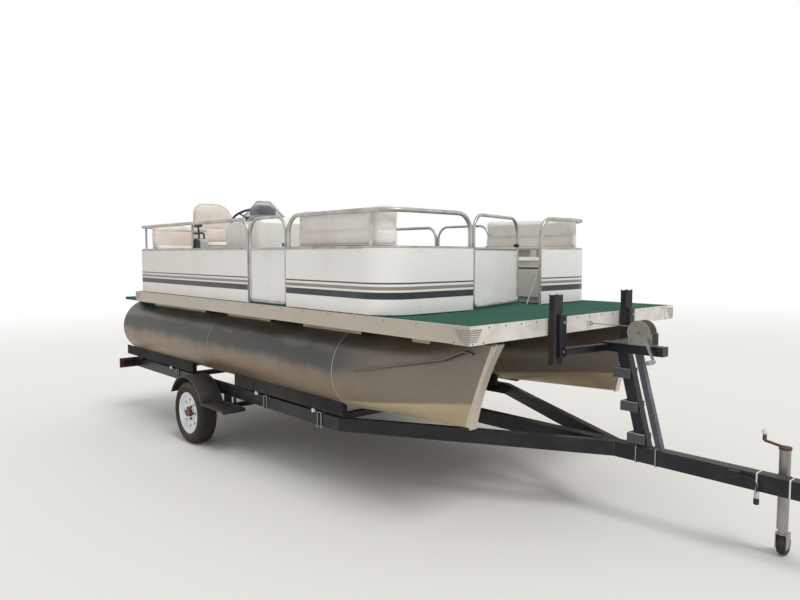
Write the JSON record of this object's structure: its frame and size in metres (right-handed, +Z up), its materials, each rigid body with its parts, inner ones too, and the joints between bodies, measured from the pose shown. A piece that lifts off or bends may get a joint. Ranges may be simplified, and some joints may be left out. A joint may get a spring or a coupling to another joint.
{
  "type": "pontoon boat on its trailer",
  "caption": "Two-log pontoon boat with a fenced deck, lounges, helm and gates, resting on a single-axle drawbar trailer with a winch post and jockey stand.",
  "frame": {"origin": "on the floor under the middle of the whole outfit's box", "axes": "+X forward to the trailer coupling, +Y to port, +Z up"},
  "size_m": [7.557, 2.524, 2.3769],
  "materials": {
    "log_aluminium": "weathered, stained",
    "trim_aluminium": "satin",
    "riser_metal": "matte",
    "plywood": "raw",
    "green_carpet": "marine carpet",
    "fence_sheet": "semi-gloss",
    "vinyl": "marine vinyl",
    "moulding": "moulded",
    "tinted_screen": "tinted",
    "grey_cover": "satin",
    "black_plastic": "matte",
    "navy_paint": "gloss, dusty",
    "black_paint": "satin",
    "bunk_carpet": "marine carpet",
    "galvanised": "zinc plated",
    "rusty_steel": "rusty",
    "tyre_rubber": "dusty",
    "white_rim": "gloss",
    "wheel_rubber": "dusty",
    "lamp_red": "lens",
    "step_rubber": "worn",
    "cable_steel": "stranded",
    "plug_plastic": "matte",
    "lead_rubber": "matte",
    "chair_post": "satin"
  },
  "bodies": {
    "boat_on_trailer": {"pontoon_starboard": "log_aluminium", "pontoon_port": "log_aluminium", "riser_channels": "riser_metal", "deck_cross_members": "riser_metal", "deck_board": "plywood", "deck_carpet": "green_carpet", "deck_skirt": "trim_aluminium", "stern_platforms": "green_carpet", "motor_mount": "trim_aluminium", "fence_frames_aft": "trim_aluminium", "fence_frames_bow": "trim_aluminium", "fence_panels_aft": "fence_sheet", "fence_panels_bow": "fence_sheet", "seat_bases": "moulding", "lounge_pads": "vinyl", "bench_pads": "vinyl", "console_shell": "moulding", "windscreen": "tinted_screen", "instrument_pod": "grey_cover", "throttle_control": "black_plastic", "chair_pedestal": "chair_post", "trailer_rails": "black_paint", "trailer_drawbar": "black_paint", "trailer_cross_members": "navy_paint", "bunk_cross_tubes": "black_paint", "bunk_boards": "bunk_carpet", "frame_u_bolts": "galvanised", "axle_and_springs": "navy_paint", "mudguards": "black_plastic", "bow_stop_posts": "bunk_carpet", "bow_stop_frame": "navy_paint", "winch_post": "navy_paint", "winch_brace_and_blocks": "step_rubber", "winch_frame": "galvanised", "winch_drum": "galvanised", "winch_cable": "cable_steel", "tow_coupling": "galvanised", "jockey_tubes": "galvanised", "jockey_crank": "rusty_steel", "tail_lamps": "lamp_red", "trailer_plug": "plug_plastic", "trailer_lead": "lead_rubber"},
    "starboard_gate": {"starboard_gate_frame": "trim_aluminium", "starboard_gate_panel": "fence_sheet"},
    "port_gate": {"port_gate_frame": "trim_aluminium", "port_gate_panel": "fence_sheet"},
    "front_gate": {"front_gate_frame": "trim_aluminium", "front_gate_panel": "fence_sheet"},
    "steering_wheel": {"steering_wheel": "black_plastic"},
    "helm_chair": {"chair_frame": "black_plastic", "chair_pads": "vinyl"},
    "starboard_road_wheel": {"starboard_tyre": "tyre_rubber", "starboard_wheel_rim": "white_rim"},
    "port_road_wheel": {"port_tyre": "tyre_rubber", "port_wheel_rim": "white_rim"},
    "jockey_castor": {"jockey_fork": "galvanised"},
    "jockey_wheel": {"jockey_wheel": "wheel_rubber"}
  },
  "joints": [
    {"name": "starboard_gate_hinge", "type": "hinge", "parent": "boat_on_trailer", "child": "starboard_gate", "pos_m": [-0.57393, -1.172, 1.59359], "axis": [0.0237, 0, 0.9997], "range_deg": [0, 95]},
    {"name": "port_gate_hinge", "type": "hinge", "parent": "boat_on_trailer", "child": "port_gate", "pos_m": [-0.72989, 1.172, 1.5973], "axis": [-0.0237, 0, -0.9997], "range_deg": [0, 95]},
    {"name": "front_gate_hinge", "type": "hinge", "parent": "boat_on_trailer", "child": "front_gate", "pos_m": [1.12559, -0.366, 1.55325], "axis": [0.0237, 0, 0.9997], "range_deg": [-14, 76]},
    {"name": "steering_wheel_turn", "type": "hinge", "parent": "boat_on_trailer", "child": "steering_wheel", "pos_m": [-1.44915, -0.69, 2.16709], "axis": [-0.4804, 0, 0.8771], "range_deg": [-540, 540]},
    {"name": "chair_swivel", "type": "hinge", "parent": "boat_on_trailer", "child": "helm_chair", "pos_m": [-2.05077, -0.67, 1.82871], "axis": [0.0237, 0, 0.9997], "continuous": true},
    {"name": "starboard_wheel_spin", "type": "hinge", "parent": "boat_on_trailer", "child": "starboard_road_wheel", "pos_m": [-1.74401, -1.1575, 0.298], "axis": [0, 1, 0], "continuous": true},
    {"name": "port_wheel_spin", "type": "hinge", "parent": "boat_on_trailer", "child": "port_road_wheel", "pos_m": [-1.74401, 1.1575, 0.298], "axis": [0, 1, 0], "continuous": true},
    {"name": "jockey_castor_swivel", "type": "hinge", "parent": "boat_on_trailer", "child": "jockey_castor", "pos_m": [3.05212, 0.102, 0.11998], "axis": [0.0237, 0, 0.9997], "continuous": true},
    {"name": "jockey_wheel_spin", "type": "hinge", "parent": "jockey_castor", "child": "jockey_wheel", "pos_m": [3.05069, 0.132, 0.06], "axis": [0.9997, 0, -0.0237], "continuous": true}
  ]
}
